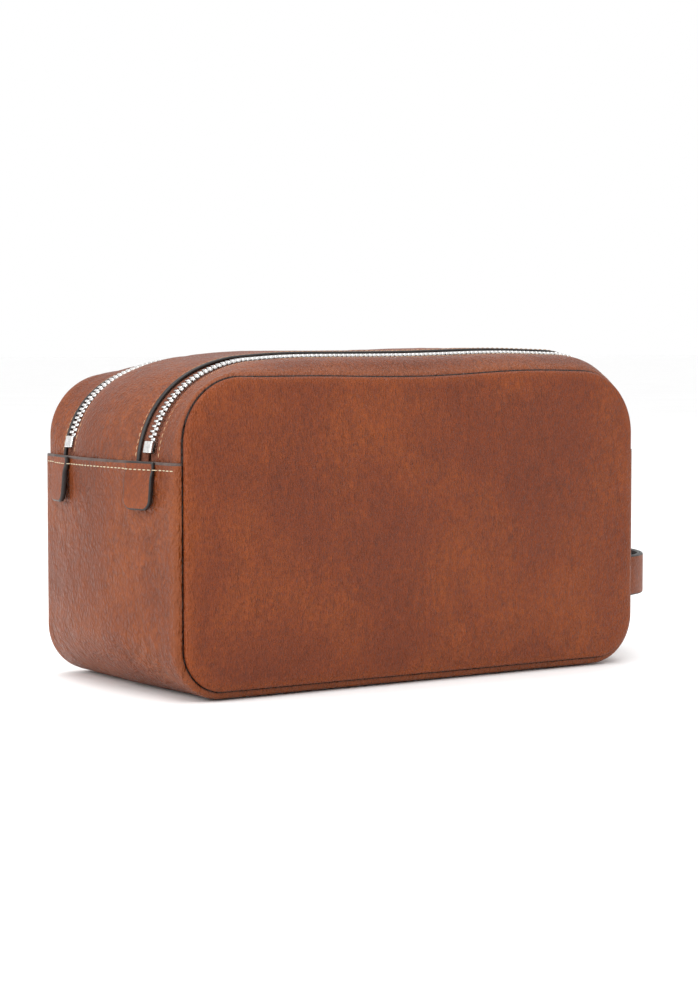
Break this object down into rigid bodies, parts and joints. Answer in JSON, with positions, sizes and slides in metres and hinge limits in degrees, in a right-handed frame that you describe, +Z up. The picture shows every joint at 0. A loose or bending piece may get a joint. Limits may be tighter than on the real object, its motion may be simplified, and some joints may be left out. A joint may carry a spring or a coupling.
{
  "type": "wash bag",
  "caption": "Soft leather box bag with rounded corners, parallel zips over the top, tabs over the zip ends and a flat loop handle on one end",
  "frame": {"origin": "centre of the flat bottom, on the surface the bag stands on", "axes": "+X towards the handle, -Y towards the front panel, +Z up"},
  "size_m": [0.3062, 0.1332, 0.1549],
  "materials": {
    "leather_panel": "tan pebbled leather, semi-matt",
    "leather_gusset": "tan pebbled leather, semi-matt",
    "leather_trim": "tan leather with painted edges",
    "handle_lining": "dark brown smooth leather",
    "thread": "cream waxed thread",
    "zip_tape": "brown woven tape",
    "zip_metal": "bright nickel plate",
    "lining": "brown woven lining",
    "stiffener": "grey-brown fibreboard"
  },
  "bodies": {
    "bag": {"front_panel": "leather_panel", "back_panel": "leather_panel", "gusset": "leather_gusset", "front_top_strip": "leather_gusset", "centre_top_strip": "leather_gusset", "back_top_strip": "leather_gusset", "front_zip_stitching": "thread", "back_zip_stitching": "thread", "left_edge_stitching": "thread", "right_edge_stitching": "thread", "front_panel_stiffener": "stiffener", "back_panel_stiffener": "stiffener", "gusset_stiffener": "stiffener", "base_board": "stiffener", "front_panel_lining": "lining", "back_panel_lining": "lining", "gusset_lining": "lining", "divider": "lining", "front_zip_near_tape": "zip_tape", "front_zip_far_tape": "zip_tape", "front_zip_near_teeth": "zip_metal", "front_zip_far_teeth": "zip_metal", "front_zip_bottom_stop": "zip_metal", "front_zip_top_stops": "zip_metal", "front_left_tab_head": "leather_trim", "front_right_tab_head": "leather_trim", "front_handle_root": "leather_trim", "back_zip_near_tape": "zip_tape", "back_zip_far_tape": "zip_tape", "back_zip_near_teeth": "zip_metal", "back_zip_far_teeth": "zip_metal", "back_zip_bottom_stop": "zip_metal", "back_zip_top_stops": "zip_metal", "back_left_tab_head": "leather_trim", "back_right_tab_head": "leather_trim", "back_handle_root": "leather_trim"},
    "front_slider": {"front_zip_slider": "zip_metal"},
    "back_slider": {"back_zip_slider": "zip_metal"},
    "front_pull": {"front_zip_pull": "zip_metal"},
    "back_pull": {"back_zip_pull": "zip_metal"},
    "front_left_tab": {"front_left_tab": "leather_trim"},
    "front_right_tab": {"front_right_tab": "leather_trim"},
    "back_left_tab": {"back_left_tab": "leather_trim"},
    "back_right_tab": {"back_right_tab": "leather_trim"},
    "handle": {"handle_strap": "leather_trim", "handle_lining": "handle_lining"}
  },
  "joints": [
    {"name": "front_slider_run", "type": "hinge", "parent": "bag", "child": "front_slider", "pos_m": [0.0978, -0.037, 0.1183], "axis": [0, 1, 0], "range_deg": [-86, 0]},
    {"name": "front_pull_swing", "type": "hinge", "parent": "front_slider", "child": "front_pull", "pos_m": [0.13525, -0.037, 0.1183], "axis": [0, -1, 0], "range_deg": [0, 125]},
    {"name": "back_slider_run", "type": "hinge", "parent": "bag", "child": "back_slider", "pos_m": [0.0978, 0.037, 0.1183], "axis": [0, 1, 0], "range_deg": [-86, 0]},
    {"name": "back_pull_swing", "type": "hinge", "parent": "back_slider", "child": "back_pull", "pos_m": [0.13525, 0.037, 0.1183], "axis": [0, -1, 0], "range_deg": [0, 125]},
    {"name": "front_left_tab_lift", "type": "hinge", "parent": "bag", "child": "front_left_tab", "pos_m": [-0.13697, -0.03734, 0.099], "axis": [-0.1908, 0.9816, 0], "range_deg": [0, 60]},
    {"name": "back_left_tab_lift", "type": "hinge", "parent": "bag", "child": "back_left_tab", "pos_m": [-0.13697, 0.03734, 0.099], "axis": [0.1908, 0.9816, 0], "range_deg": [0, 60]},
    {"name": "front_right_tab_lift", "type": "hinge", "parent": "bag", "child": "front_right_tab", "pos_m": [0.13697, -0.03734, 0.099], "axis": [-0.1908, -0.9816, 0], "range_deg": [0, 60]},
    {"name": "back_right_tab_lift", "type": "hinge", "parent": "bag", "child": "back_right_tab", "pos_m": [0.13697, 0.03734, 0.099], "axis": [0.1908, -0.9816, 0], "range_deg": [0, 60]},
    {"name": "handle_swing", "type": "hinge", "parent": "bag", "child": "handle", "pos_m": [0.136, 0, 0.0425], "axis": [0, 1, 0], "range_deg": [-35, 35], "stiffness_Nm_per_rad": 0.04}
  ]
}
